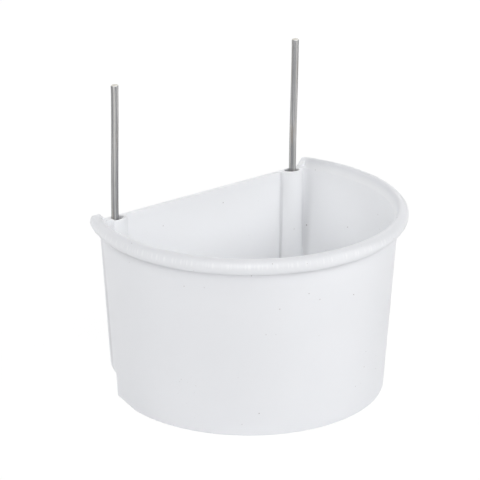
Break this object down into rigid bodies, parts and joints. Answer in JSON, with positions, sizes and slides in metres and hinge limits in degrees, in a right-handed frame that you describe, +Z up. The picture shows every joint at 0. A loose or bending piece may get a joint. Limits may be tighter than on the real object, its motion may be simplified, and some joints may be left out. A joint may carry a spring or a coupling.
{
  "type": "cage feeding cup",
  "caption": "Half-round white plastic cup with a flat back, turned-over rim and stepped base; straight steel pins stand in its corner bosses to locate it on cage bars.",
  "frame": {"origin": "middle of the bounding box in X and Y, on the plane of the base that the cup stands on", "axes": "+Z up along the pins, +Y out of the flat back towards the cage, -Y out of the round front, +X along the back to the right pin"},
  "size_m": [0.1304, 0.0948, 0.1318],
  "materials": {
    "white_plastic": "satin injection-moulded polypropylene, slightly cool white",
    "zinc_wire": "drawn galvanised steel wire, dull, cut square at the ends"
  },
  "bodies": {
    "cup": {"cup": "white_plastic"},
    "left_pin": {"left_pin": "zinc_wire"},
    "right_pin": {"right_pin": "zinc_wire"}
  },
  "joints": [
    {"name": "left_pin_slide", "type": "slide", "parent": "cup", "child": "left_pin", "axis": [0, 0, 1], "range_m": [0, 0.06]},
    {"name": "right_pin_slide", "type": "slide", "parent": "cup", "child": "right_pin", "axis": [0, 0, 1], "range_m": [0, 0.06]}
  ]
}
